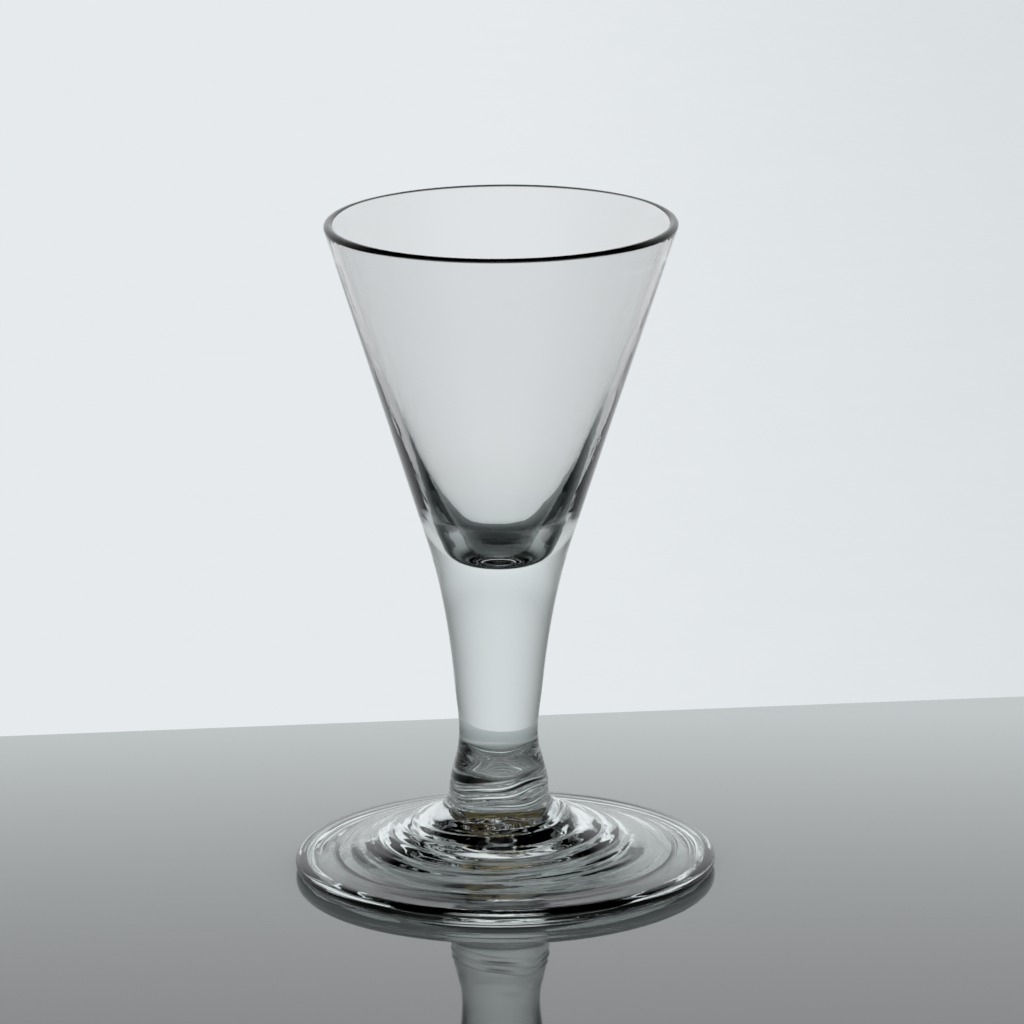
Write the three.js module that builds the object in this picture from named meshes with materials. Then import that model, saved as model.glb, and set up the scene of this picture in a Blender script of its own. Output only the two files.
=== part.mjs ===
import * as THREE from 'three';

// A hand-blown dram glass: a conical bowl drawn down into a solid stem, on a
// conical foot whose edge is folded under. Millimetres, +Z up. The origin is
// the middle of the foot on the surface that the glass stands on.

// Driving dimensions of the whole glass
const HEIGHT = 100;
const RIM_RADIUS = 26.3;
const FOOT_RADIUS = 31.75;

// Bowl: a straight cone outside, with a wall that thins as it climbs
const BOWL_ROOT_HEIGHT = 52;
const BOWL_ROOT_RADIUS = 11.1;
const LIP_THICKNESS = 1.35;
const WELL_HEIGHT = 48.5;
const WELL_EDGE_RISE = 5;
const WELL_EDGE_WALL = 4.4;
const WELL_FULLNESS = 0.6;
const WALL_THINNING = 13;

// Stem: solid, narrowest just above the foot, with a slight swell below the flare
const WAIST_HEIGHT = 21.5;
const WAIST_RADIUS = 5.95;
const SWELL_RISE = 7.5;
const SWELL_RADIUS = 6.65;
const SWELL_FLARE = 0.09;

// Boss: the part of the foot's gather that was dressed up round the stem's end,
// ringed by the tool from its base to its shoulder and smooth above that
const JOINT_DROP = 2.5;
const JOINT_RADIUS = 6.15;
const JOINT_FLARE = -0.12;
const SHOULDER_HEIGHT = 15.6;
const SHOULDER_RADIUS = 6.92;
const SHOULDER_FLARE = -0.29;
const BOSS_HEIGHT = 12.6;
const BOSS_RADIUS = 7.5;
const BOSS_FLARE = -0.05;
const TOOL_RINGS = 3;
const TOOL_RING_DEPTH = 0.12;

// Foot: spread thin from the instep to the edge, with the marks of the spreading
const INSTEP_RADIUS = 11;
const INSTEP_HEIGHT = 8.5;
const INSTEP_DROP = 2.7;
const FOOT_HOLLOW = 5.4;
const HOLLOW_DROP = 1.1;
const RIDGES = 4;
const RIDGE_HEIGHT = 0.1;

// Fold: the edge turned under, flat where it wears on the table. The fold makes
// the foot's rim full, so its upper face swells to a bead above the edge.
const FOLD_PLANE = 1.3;
const FOLD_WIDTH = 6.35;
const FOLD_LIP_BULGE = 0.25;
const FOLD_LIP_DROP = 0.6;
const FOLD_REACH = 1.6;
const FOLD_RISE = 0.7;
const FOLD_SETBACK = 0.6;
const BEAD_WIDTH = 4.95;
const BEAD_HEIGHT = 3.15;
const BEAD_SLOPE = 0.05;
const BEAD_ROUND = 0.85;
const WEAR_INSET = 1.45;
const WEAR_RING_WIDTH = 1;
const AIR_LINE_INSET = 2.2;
const AIR_LINE_WIDTH = 0.9;
const AIR_LINE_DEPTH = 0.28;

// Pontil scar: the rough wad under the middle of the foot
const SCAR_RADIUS = 5.6;
const SCAR_DROP = 2.1;
const SCAR_ROUGHNESS = 0.35;

// Hand work: the stem stands off the foot's middle and the bowl leans back
const STEM_OFFSET = -0.85;
const RIM_OFFSET = 0.25;

// Facets round the axis
const ROUND_STEPS = 64;
const SCAR_STEPS = 36;

// Sizes that follow from the ones above
const JOINT_HEIGHT = WAIST_HEIGHT - JOINT_DROP;
const LIP_RADIUS = LIP_THICKNESS / 2;
const LIP_CENTRE_HEIGHT = HEIGHT - LIP_RADIUS;
const BOWL_FLARE = (RIM_RADIUS - BOWL_ROOT_RADIUS) / (LIP_CENTRE_HEIGHT - BOWL_ROOT_HEIGHT);
const BOWL_ANGLE = Math.atan(BOWL_FLARE);
const WELL_EDGE_HEIGHT = WELL_HEIGHT + WELL_EDGE_RISE;
const BEAD_RADIUS = FOOT_RADIUS - BEAD_WIDTH;
const FOLD_INNER_RADIUS = FOOT_RADIUS - FOLD_WIDTH;
const HOLLOW_RADIUS = FOLD_INNER_RADIUS - FOLD_SETBACK;

// One point of a profile: distance from the axis, height
function at(radius, height) {
  return new THREE.Vector2(radius, height);
}

// Points on a curve that leaves its first end and meets its last one along the
// lines to the two points between
function bend(first, second, third, last, steps) {
  return new THREE.CubicBezierCurve(first, second, third, last).getPoints(steps);
}

// A smooth run between two stations, each with its radius, height and flare,
// which is the change of radius for each millimetre of height
function flow(from, to, steps) {
  const third = (to.height - from.height) / 3;
  return bend(
    at(from.radius, from.height),
    at(from.radius + from.flare * third, from.height + third),
    at(to.radius - to.flare * third, to.height - third),
    at(to.radius, to.height),
    steps,
  );
}

// Points on a round, from one angle to another, anticlockwise from outwards
function arc(centre, radius, start, end, steps) {
  const points = [];
  for (let i = 0; i <= steps; i += 1) {
    const angle = start + ((end - start) * i) / steps;
    points.push(at(centre.x + radius * Math.cos(angle), centre.y + radius * Math.sin(angle)));
  }
  return points;
}

// How far the axis of the glass stands from the foot's middle, at one place
function axisOffset(radius, height) {
  if (height > WAIST_HEIGHT) {
    const climb = (height - WAIST_HEIGHT) / (HEIGHT - WAIST_HEIGHT);
    return THREE.MathUtils.lerp(STEM_OFFSET, RIM_OFFSET, climb);
  }
  const outward = THREE.MathUtils.smoothstep(radius, INSTEP_RADIUS, FOLD_INNER_RADIUS);
  return STEM_OFFSET * (1 - outward);
}

// Moves each level of a turned form sideways on to the glass's own axis
function settle(geometry) {
  const position = geometry.attributes.position;
  for (let i = 0; i < position.count; i += 1) {
    const x = position.getX(i);
    const radius = Math.hypot(x, position.getY(i));
    position.setX(i, x + axisOffset(radius, position.getZ(i)));
  }
  return geometry;
}

// Turns a profile round the axis, with the axis upright
function turn(profile, steps) {
  const geometry = new THREE.LatheGeometry(profile, steps);
  geometry.rotateX(Math.PI / 2);
  return geometry;
}

// Outside radius of the straight part of the bowl
function bowlRadius(height) {
  return BOWL_ROOT_RADIUS + BOWL_FLARE * (height - BOWL_ROOT_HEIGHT);
}

// Outside of the stem and bowl, from the joint with the foot up to the lip
function stemAndBowlOutside() {
  const joint = { radius: JOINT_RADIUS, height: JOINT_HEIGHT, flare: JOINT_FLARE };
  const waist = { radius: WAIST_RADIUS, height: WAIST_HEIGHT, flare: 0 };
  const swell = { radius: SWELL_RADIUS, height: WAIST_HEIGHT + SWELL_RISE, flare: SWELL_FLARE };
  const root = { radius: BOWL_ROOT_RADIUS, height: BOWL_ROOT_HEIGHT, flare: BOWL_FLARE };
  return [
    ...flow(joint, waist, 3),
    ...flow(waist, swell, 4).slice(1),
    ...flow(swell, root, 8).slice(1),
  ];
}

// The fire-polished lip: half a round between the wall's two faces
function lip() {
  const centre = at(RIM_RADIUS - LIP_RADIUS / Math.cos(BOWL_ANGLE), LIP_CENTRE_HEIGHT);
  const top = Math.PI / 2;
  return [
    ...arc(centre, LIP_RADIUS, -BOWL_ANGLE, top, 4),
    ...arc(centre, LIP_RADIUS, top, Math.PI - BOWL_ANGLE, 3).slice(1),
  ];
}

// Level thickness of the bowl's wall: most at the well, thinning to the lip
function wallThickness(height) {
  const atLip = LIP_THICKNESS / Math.cos(BOWL_ANGLE);
  const fade = (h) => Math.exp((WELL_EDGE_HEIGHT - h) / WALL_THINNING);
  const fadeAtLip = fade(LIP_CENTRE_HEIGHT);
  const share = (fade(height) - fadeAtLip) / (1 - fadeAtLip);
  return atLip + (WELL_EDGE_WALL - atLip) * share;
}

// Inside radius of the bowl, down to the edge of its well
function hollowRadius(height) {
  return bowlRadius(height) - wallThickness(height);
}

// Inside of the bowl, from just under the lip down to the edge of the well
function bowlInside(steps) {
  const top = LIP_CENTRE_HEIGHT - LIP_RADIUS;
  const points = [];
  for (let i = 0; i <= steps; i += 1) {
    const height = THREE.MathUtils.lerp(top, WELL_EDGE_HEIGHT, i / steps);
    points.push(at(hollowRadius(height), height));
  }
  return points;
}

// The round bottom of the hollow: it leaves the wall in the wall's own
// direction and meets the axis level
function well(steps) {
  const edge = hollowRadius(WELL_EDGE_HEIGHT);
  const lean = hollowRadius(WELL_EDGE_HEIGHT + 1) - edge;
  const drop = WELL_EDGE_RISE * WELL_FULLNESS;
  return bend(
    at(edge, WELL_EDGE_HEIGHT),
    at(edge - lean * drop, WELL_EDGE_HEIGHT - drop),
    at(edge * WELL_FULLNESS, WELL_HEIGHT),
    at(0, WELL_HEIGHT),
    steps,
  ).slice(1);
}

function bowlAndStemGeometry() {
  const profile = [
    at(0, JOINT_HEIGHT),
    ...stemAndBowlOutside(),
    ...lip(),
    ...bowlInside(10),
    ...well(8),
  ];
  return settle(turn(profile, ROUND_STEPS));
}

// The dressed boss, from its base up to the joint, grooved by the tool
function boss() {
  const base = { radius: BOSS_RADIUS, height: BOSS_HEIGHT, flare: BOSS_FLARE };
  const shoulder = { radius: SHOULDER_RADIUS, height: SHOULDER_HEIGHT, flare: SHOULDER_FLARE };
  const joint = { radius: JOINT_RADIUS, height: JOINT_HEIGHT, flare: JOINT_FLARE };
  const stepsPerRing = 4;
  const steps = TOOL_RINGS * stepsPerRing;
  const ringed = flow(base, shoulder, steps);
  for (let i = 0; i <= steps; i += 1) {
    const groove = Math.sin((Math.PI * i) / stepsPerRing) ** 2;
    ringed[i].x -= TOOL_RING_DEPTH * groove;
  }
  return [...ringed, ...flow(shoulder, joint, 5).slice(1)];
}

// The hollow curve between the foot and the boss
function instep() {
  return bend(
    at(INSTEP_RADIUS, INSTEP_HEIGHT),
    at(INSTEP_RADIUS - 1.8, INSTEP_HEIGHT + 0.8),
    at(BOSS_RADIUS + 0.1, BOSS_HEIGHT - 2.2),
    at(BOSS_RADIUS, BOSS_HEIGHT),
    5,
  ).slice(1, -1);
}

// The foot's upper face, from the bead in to the instep, with its faint ridges
function footTop() {
  const third = (BEAD_RADIUS - INSTEP_RADIUS) / 3;
  const stepsPerRidge = 4;
  const steps = RIDGES * stepsPerRidge;
  const points = bend(
    at(BEAD_RADIUS, BEAD_HEIGHT),
    at(BEAD_RADIUS - third, BEAD_HEIGHT + BEAD_SLOPE * third),
    at(INSTEP_RADIUS + third, INSTEP_HEIGHT - INSTEP_DROP),
    at(INSTEP_RADIUS, INSTEP_HEIGHT),
    steps,
  );
  for (let i = 0; i <= steps; i += 1) {
    const wave = Math.sin((Math.PI * i) / stepsPerRidge) ** 2;
    points[i].y += RIDGE_HEIGHT * wave;
  }
  return points;
}

// The full rim of the foot, from the fold's outer edge up to the crown of the bead
function footEdge() {
  const reach = BEAD_WIDTH * 0.55;
  return bend(
    at(FOOT_RADIUS, FOLD_PLANE),
    at(FOOT_RADIUS, FOLD_PLANE + BEAD_ROUND),
    at(BEAD_RADIUS + reach, BEAD_HEIGHT - BEAD_SLOPE * reach),
    at(BEAD_RADIUS, BEAD_HEIGHT),
    7,
  );
}

// The hollow under the foot, from the flat round the scar down to the fold
function underside() {
  const start = at(SCAR_RADIUS + 1, FOOT_HOLLOW);
  const end = at(HOLLOW_RADIUS, FOLD_PLANE);
  const third = (end.x - start.x) / 3;
  return bend(
    start,
    at(start.x + third, FOOT_HOLLOW - HOLLOW_DROP),
    at(end.x - third, FOLD_PLANE + HOLLOW_DROP),
    end,
    6,
  );
}

function footGeometry() {
  const profile = [
    at(0, FOOT_HOLLOW),
    ...underside(),
    ...footEdge(),
    ...footTop().slice(1),
    ...instep(),
    ...boss(),
    at(0, JOINT_HEIGHT),
  ];
  return settle(turn(profile, ROUND_STEPS));
}

// The trapped line of air: a groove in the fold's upper face, closed by the foot
function airLine() {
  const middle = FOOT_RADIUS - AIR_LINE_INSET;
  return [
    at(middle + AIR_LINE_WIDTH / 2, FOLD_PLANE),
    at(middle, FOLD_PLANE - AIR_LINE_DEPTH),
    at(middle - AIR_LINE_WIDTH / 2, FOLD_PLANE),
  ];
}

// The fold's open face, from its inner lip under to the ring that it stands on
// and round to its outer edge
function foldUnderside() {
  const wearOuter = FOOT_RADIUS - WEAR_INSET;
  const wearInner = wearOuter - WEAR_RING_WIDTH;
  const inwards = bend(
    at(FOLD_INNER_RADIUS, FOLD_PLANE),
    at(FOLD_INNER_RADIUS - FOLD_LIP_BULGE, FOLD_PLANE - FOLD_LIP_DROP),
    at(FOLD_INNER_RADIUS + FOLD_REACH, FOLD_RISE),
    at(wearInner, 0),
    6,
  );
  const outwards = bend(
    at(wearOuter, 0),
    at(wearOuter + WEAR_INSET * 0.6, 0),
    at(FOOT_RADIUS, FOLD_PLANE * 0.45),
    at(FOOT_RADIUS, FOLD_PLANE),
    5,
  );
  return [...inwards, ...outwards];
}

function foldGeometry() {
  const profile = [
    ...foldUnderside(),
    ...airLine(),
    at(FOLD_INNER_RADIUS, FOLD_PLANE),
  ];
  return settle(turn(profile, ROUND_STEPS));
}

// Broken glass: uneven round its edge and over its face, flat where it joins
function roughen(geometry) {
  const position = geometry.attributes.position;
  for (let i = 0; i < position.count; i += 1) {
    const x = position.getX(i);
    const y = position.getY(i);
    const z = position.getZ(i);
    const angle = Math.atan2(y, x);
    const spread = Math.hypot(x, y) / SCAR_RADIUS;
    const outline = 1 + 0.07 * Math.sin(3 * angle + 0.7) + 0.04 * Math.sin(7 * angle);
    const chips = Math.sin(4 * angle + 5 * spread) + 0.5 * Math.sin(9 * angle - 3 * spread);
    const depth = (FOOT_HOLLOW - z) / SCAR_DROP;
    position.setXYZ(i, x * outline, y * outline, z + SCAR_ROUGHNESS * chips * spread * depth);
  }
  return geometry;
}

function scarGeometry() {
  const low = FOOT_HOLLOW - SCAR_DROP;
  const profile = [
    at(0, low + 0.5),
    at(SCAR_RADIUS * 0.35, low + 0.3),
    at(SCAR_RADIUS * 0.62, low),
    at(SCAR_RADIUS * 0.78, low + 0.25),
    at(SCAR_RADIUS * 0.92, low + 0.9),
    at(SCAR_RADIUS, FOOT_HOLLOW),
    at(0, FOOT_HOLLOW),
  ];
  return settle(roughen(turn(profile, SCAR_STEPS)));
}

// Clear old soda glass with a faint grey cast
function clearGlass(colour, roughness) {
  return new THREE.MeshStandardMaterial({
    color: colour,
    roughness,
    metalness: 0,
    transparent: true,
    opacity: 0.35,
  });
}

function piece(name, geometry, material) {
  const mesh = new THREE.Mesh(geometry, material);
  mesh.name = name;
  return mesh;
}

const glass = new THREE.Group();
glass.name = 'dram_glass';
glass.add(
  piece('bowl_and_stem', bowlAndStemGeometry(), clearGlass(0xd3dadb, 0.04)),
  piece('foot', footGeometry(), clearGlass(0xccd4d4, 0.06)),
  piece('foot_fold', foldGeometry(), clearGlass(0xc8d0d0, 0.06)),
  piece('pontil_scar', scarGeometry(), clearGlass(0xc4cbc7, 0.35)),
);

export default glass;
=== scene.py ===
"""A hand-blown dram glass with a folded foot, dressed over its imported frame."""

import logging
import math
from collections.abc import Callable, Iterable
from dataclasses import dataclass
from enum import Enum
from typing import ClassVar

import bpy
import numpy as np
from mathutils import Matrix, Vector
from numpy.typing import NDArray


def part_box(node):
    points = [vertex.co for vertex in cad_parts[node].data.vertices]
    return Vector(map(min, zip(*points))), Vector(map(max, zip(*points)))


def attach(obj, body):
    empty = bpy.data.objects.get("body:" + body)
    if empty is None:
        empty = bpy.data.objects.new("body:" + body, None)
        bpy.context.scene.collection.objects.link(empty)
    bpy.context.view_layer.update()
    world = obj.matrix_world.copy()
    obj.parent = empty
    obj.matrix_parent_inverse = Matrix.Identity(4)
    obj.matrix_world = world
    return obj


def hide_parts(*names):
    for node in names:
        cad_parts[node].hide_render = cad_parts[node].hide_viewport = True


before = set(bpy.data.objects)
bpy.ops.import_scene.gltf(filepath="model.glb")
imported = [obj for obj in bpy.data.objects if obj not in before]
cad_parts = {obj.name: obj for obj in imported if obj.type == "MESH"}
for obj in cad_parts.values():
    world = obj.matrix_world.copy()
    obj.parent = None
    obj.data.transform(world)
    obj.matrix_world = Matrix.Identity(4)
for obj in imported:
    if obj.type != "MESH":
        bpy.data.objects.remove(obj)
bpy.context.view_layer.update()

LOG = logging.getLogger("dram_glass")

# Lengths in this file are millimetres, as a glassmaker would give them
MM = 0.001
TURN = 2 * math.pi

# Lead glass bends light a little more than window glass does
FLINT_INDEX = 1.54

Array = NDArray[np.float64]
Point = tuple[float, float]


class Slot(Enum):
    """The record's material slots."""

    BOWL = "bowl_glass"
    FOOT = "foot_glass"
    FOLD = "fold_glass"
    SCAR = "broken_glass"


class Face(Enum):
    """What a stretch of a piece's surface is."""

    OPEN = 0
    FUSED = 1
    WORN = 2


class Seed(Enum):
    """Seeds of the waves that hand work leaves in the glass."""

    OUTER_WALL = 11
    INNER_WALL = 23
    RIDGE_WANDER = 31
    RIDGE_STRENGTH = 37
    BOSS_MARKS = 41
    FOOT_WAVES = 43
    BOSS_WAVES = 47
    UNDER_WANDER = 53
    UNDER_WAVES = 59
    SCAR_FLAKES = 61
    SCAR_FINE_FLAKES = 67
    SCAR_EDGE = 71


# Curves of a turned profile, as rows of radius and height


def line(start: Point, end: Point, steps: int) -> Array:
    """Gives points on a straight line."""
    return np.linspace(start, end, steps + 1)


def bezier(controls: list[Point], steps: int) -> Array:
    """Gives points on a cubic curve.

    Args:
        controls: Four control points, each a radius and a height.
        steps: Number of steps along the curve.

    Returns:
        The points.
    """
    t = np.linspace(0, 1, steps + 1)[:, None]
    a, b, c, d = (np.array(p, float) for p in controls)
    return a * (1 - t) ** 3 + 3 * b * t * (1 - t) ** 2 + 3 * c * t**2 * (1 - t) + d * t**3


def arc(centre: Point, radius: float, start: float, end: float, steps: int) -> Array:
    """Gives points on a round between two angles, in radians from straight outwards."""
    angle = np.linspace(start, end, steps + 1)
    return np.stack([centre[0] + radius * np.cos(angle), centre[1] + radius * np.sin(angle)], 1)


@dataclass(frozen=True)
class Station:
    """A level on a flowing outline, with its radius and how fast that grows upwards."""

    radius: float
    height: float
    flare: float


def flow(low: Station, high: Station, steps: int) -> Array:
    """Gives a smooth run between two stations.

    Args:
        low: Station where the run starts.
        high: Station where it ends.
        steps: Number of steps between them.

    Returns:
        The points.
    """
    third = (high.height - low.height) / 3
    return bezier(
        [
            (low.radius, low.height),
            (low.radius + low.flare * third, low.height + third),
            (high.radius - high.flare * third, high.height - third),
            (high.radius, high.height),
        ],
        steps,
    )


def smooth(value: Array, low: float, high: float) -> Array:
    """Rises smoothly from 0 where the value is low to 1 where it is high."""
    t = np.clip((value - low) / (high - low), 0, 1)
    return t * t * (3 - 2 * t)


def ripple(angle: Array, along: Array, waves: int, pitch: float, seed: Seed) -> Array:
    """Sums slow waves that close round the glass, as a hot surface is left by hand.

    Args:
        angle: Angle round the axis.
        along: Distance along the profile.
        waves: Number of waves in the sum.
        pitch: Shortest length of a wave along the profile.
        seed: Seed of the waves' sizes and phases.

    Returns:
        A height between about -1 and 1.
    """
    chance = np.random.default_rng(seed.value)
    total = np.zeros(np.broadcast(angle, along).shape)
    for _ in range(waves):
        turns = int(chance.integers(0, 6))
        length = pitch * chance.uniform(1, 4)
        phase = chance.uniform(0, TURN)
        total += chance.uniform(0.4, 1) * np.sin(turns * angle + TURN * along / length + phase)
    return total / math.sqrt(waves)


# Turned pieces


@dataclass(frozen=True)
class Patch:
    """Where a run's points lie on the true turned form, a row for each ring.

    The share is how much of the run's length lies behind a ring.
    """

    radius: Array
    angle: Array
    height: Array
    share: Array


# A relief says how far to move each point of a patch outwards and upwards
Relief = Callable[[Patch], tuple[Array, Array]]


@dataclass(frozen=True)
class Run:
    """A stretch of a profile with one kind of face and its own relief."""

    points: Array
    face: Face = Face.OPEN
    relief: Relief | None = None


@dataclass(frozen=True)
class HandWork:
    """How the making leaves the glass off a true turned form."""

    waist_height: float
    rim_height: float
    instep_radius: float
    fold_radius: float
    stem_offset: float = -0.85
    rim_offset: float = 0.25
    ovalness: float = 0.004
    oval_angle: float = 0.6

    def place(self, radius: Array, angle: Array, height: Array) -> Array:
        """Moves points of a turned form on to the leaning, slightly oval glass.

        Args:
            radius: Distance from the axis.
            angle: Angle round the axis.
            height: Height above the table.

        Returns:
            Points as x, y and z along the last axis.
        """
        rise = self.rim_height - self.waist_height
        climb = np.clip((height - self.waist_height) / rise, 0, None)
        outward = smooth(radius, self.instep_radius, self.fold_radius)
        foot_offset = self.stem_offset * (1 - outward)
        bowl_offset = self.stem_offset + (self.rim_offset - self.stem_offset) * climb
        offset = np.where(height > self.waist_height, bowl_offset, foot_offset)
        bulge = np.clip(climb, 0, 1) ** 2 * np.cos(2 * angle + self.oval_angle)
        oval = 1 + self.ovalness * bulge
        return np.stack(
            [radius * oval * np.cos(angle) + offset, radius * oval * np.sin(angle), height], -1
        )


@dataclass(frozen=True)
class Turning:
    """Turns a profile into a closed mesh.

    The profile's ends either meet or both lie on the axis, and each run starts where the last
    one ends.
    """

    name: str
    runs: list[Run]
    segments: int
    hand: HandWork

    def _rings(self) -> tuple[Array, list[int], list[int]]:
        """Places every ring of points.

        Returns:
            The points ring by ring, the face kind of each step, and the rings at a corner.
        """
        angle = np.linspace(0, TURN, self.segments, endpoint=False)[None, :]
        rings: list[Array] = []
        kinds: list[int] = []
        corners: list[int] = []
        for run in self.runs:
            radius, height = run.points[:, :1], run.points[:, 1:]
            share = np.linspace(0, 1, len(run.points))[:, None]
            flat = np.zeros_like(radius + angle)
            out, up = flat, flat
            if run.relief:
                out, up = run.relief(Patch(radius, angle, height, share))
            placed = self.hand.place(radius + out, angle + flat, height + up)
            first = 1 if rings else 0
            corners.append(len(rings) - first)
            kinds += [run.face.value] * (len(placed) - 1)
            rings += list(placed[first:])
        return np.array(rings), kinds, corners

    def build(self) -> bpy.types.Object:
        """Makes the mesh object, at the origin and in metres.

        Returns:
            The new object, linked to the scene.
        """
        rings, kinds, corners = self._rings()
        ends_meet = self.runs[0].points[0, 0] > 0
        if ends_meet:
            rings = rings[:-1]
        index = np.arange(len(rings) * self.segments).reshape(len(rings), self.segments)
        lower = index
        if not ends_meet:
            # A ring on the axis is a single point
            index[0], index[-1] = index[0, 0], index[-1, 0]
            lower = index[:-1]
        upper = np.roll(index, -1, 0)[: len(lower)]
        quads = np.stack([lower, np.roll(lower, -1, 1), np.roll(upper, -1, 1), upper], -1)
        used, quads = np.unique(quads, return_inverse=True)
        faces = [tuple(dict.fromkeys(quad)) for quad in quads.reshape(-1, 4).tolist()]
        mesh = bpy.data.meshes.new(self.name)
        mesh.from_pydata(rings.reshape(-1, 3)[used] * MM, [], faces)
        mesh.polygons.foreach_set("use_smooth", [True] * len(faces))
        mesh.polygons.foreach_set("material_index", np.repeat(kinds, self.segments).tolist())
        self._sharpen(mesh, used // self.segments, corners)
        mesh.validate()
        piece = bpy.data.objects.new(self.name, mesh)
        bpy.context.scene.collection.objects.link(piece)
        return piece

    @staticmethod
    def _sharpen(mesh: bpy.types.Mesh, ring_of: NDArray[np.int64], corners: list[int]) -> None:
        """Marks the edges where two runs meet at a corner.

        Args:
            mesh: The mesh.
            ring_of: Number of each point's ring.
            corners: Numbers of the rings at a corner.
        """
        ends = np.zeros(len(mesh.edges) * 2, np.int64)
        mesh.edges.foreach_get("vertices", ends)
        ring = ring_of[ends.reshape(-1, 2)]
        sharp = mesh.attributes.new("sharp_edge", "BOOLEAN", "EDGE")
        at_corner = np.isin(ring[:, 0], corners) & (ring[:, 0] == ring[:, 1])
        sharp.data.foreach_set("value", at_corner)


# Finishes


def linear(code: str) -> tuple[float, float, float, float]:
    """Turns an sRGB hex colour into the linear colour that shaders take.

    Args:
        code: Six hex digits after a hash.

    Returns:
        Linear red, green, blue and alpha.
    """
    parts = [int(code[i : i + 2], 16) / 255 for i in (1, 3, 5)]
    red, green, blue = (p / 12.92 if p <= 0.04045 else ((p + 0.055) / 1.055) ** 2.4 for p in parts)
    return red, green, blue, 1.0


def add(
    tree: bpy.types.NodeTree,
    kind: str,
    inputs: dict[str | int, object] | None = None,
    **settings: object,
) -> bpy.types.Node:
    """Adds a node with its settings, input values and links.

    In a Mix node for colours, input 0 is the share, 6 and 7 are the colours, and output 2 is
    the result.

    Args:
        tree: The node tree.
        kind: Blender's name for the node's type.
        inputs: For each input, by name or number, a value, a socket to link, or a node whose
            first output is linked.
        **settings: Properties of the node itself.

    Returns:
        The new node.
    """
    node = tree.nodes.new(kind)
    for name, setting in settings.items():
        setattr(node, name, setting)
    for key, value in (inputs or {}).items():
        if isinstance(value, bpy.types.Node):
            value = value.outputs[0]
        if isinstance(value, bpy.types.NodeSocket):
            tree.links.new(value, node.inputs[key])
        else:
            node.inputs[key].default_value = value
    return node


@dataclass(frozen=True)
class Finish:
    """What all finishes share: how their material starts and ends."""

    name: str

    def surface(self, tree: bpy.types.NodeTree) -> bpy.types.Node:
        """Adds the nodes of the surface and returns the shader; each finish has its own."""
        raise NotImplementedError

    def make(self) -> bpy.types.Material:
        """Makes the material.

        Returns:
            The material.
        """
        material = bpy.data.materials.new(self.name)
        material.use_nodes = True
        tree = material.node_tree
        tree.nodes.clear()
        add(tree, "ShaderNodeOutputMaterial", {"Surface": self.surface(tree)})
        return material


@dataclass(frozen=True)
class FlintGlass(Finish):
    """Old lead glass, blown and fire-polished: clear and smooth, with a faint grey cast.

    The gather was never quite even, so fine cords in it bend what shows behind.
    """

    name: str = "flint_glass_fire_polished"
    thin: str = "#FCFDFD"
    solid: str = "#EBF1F0"
    solid_below: float = 48.0
    thin_above: float = 62.0
    roughness: float = 0.0
    cord_length: float = 14.0
    cord_width: float = 1.6
    cord_depth: float = 0.012

    def surface(self, tree: bpy.types.NodeTree) -> bpy.types.Node:
        """Adds clear glass with upright cords.

        Args:
            tree: The node tree.

        Returns:
            The shader.
        """
        place = add(tree, "ShaderNodeTexCoord").outputs["Object"]
        across, along = 1 / self.cord_width / MM, 1 / self.cord_length / MM
        stretch = add(tree, "ShaderNodeMapping", {"Vector": place, "Scale": (across, across, along)})
        cords = add(
            tree,
            "ShaderNodeTexNoise",
            {"Vector": stretch, "Scale": 1.0, "Detail": 2.0, "Roughness": 0.4},
        )
        bump = add(tree, "ShaderNodeBump", {"Height": cords, "Distance": self.cord_depth * MM})
        return add(
            tree,
            "ShaderNodeBsdfPrincipled",
            {
                "Base Color": self._cast(tree, place),
                "Roughness": self.roughness,
                "IOR": FLINT_INDEX,
                "Transmission Weight": 1.0,
                "Normal": bump,
            },
        )

    def _cast(self, tree: bpy.types.NodeTree, place: bpy.types.NodeSocket) -> bpy.types.NodeSocket:
        """Gives the glass its cast: almost none in the thin bowl, more where it is solid.

        Args:
            tree: The node tree.
            place: Position on the glass.

        Returns:
            The colour's socket.
        """
        height = add(tree, "ShaderNodeSeparateXYZ", {0: place}).outputs["Z"]
        levels = {"From Min": self.solid_below * MM, "From Max": self.thin_above * MM}
        thin = add(tree, "ShaderNodeMapRange", {"Value": height, **levels})
        colours = {6: linear(self.solid), 7: linear(self.thin)}
        return add(tree, "ShaderNodeMix", {0: thin, **colours}, data_type="RGBA").outputs[2]


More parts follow.
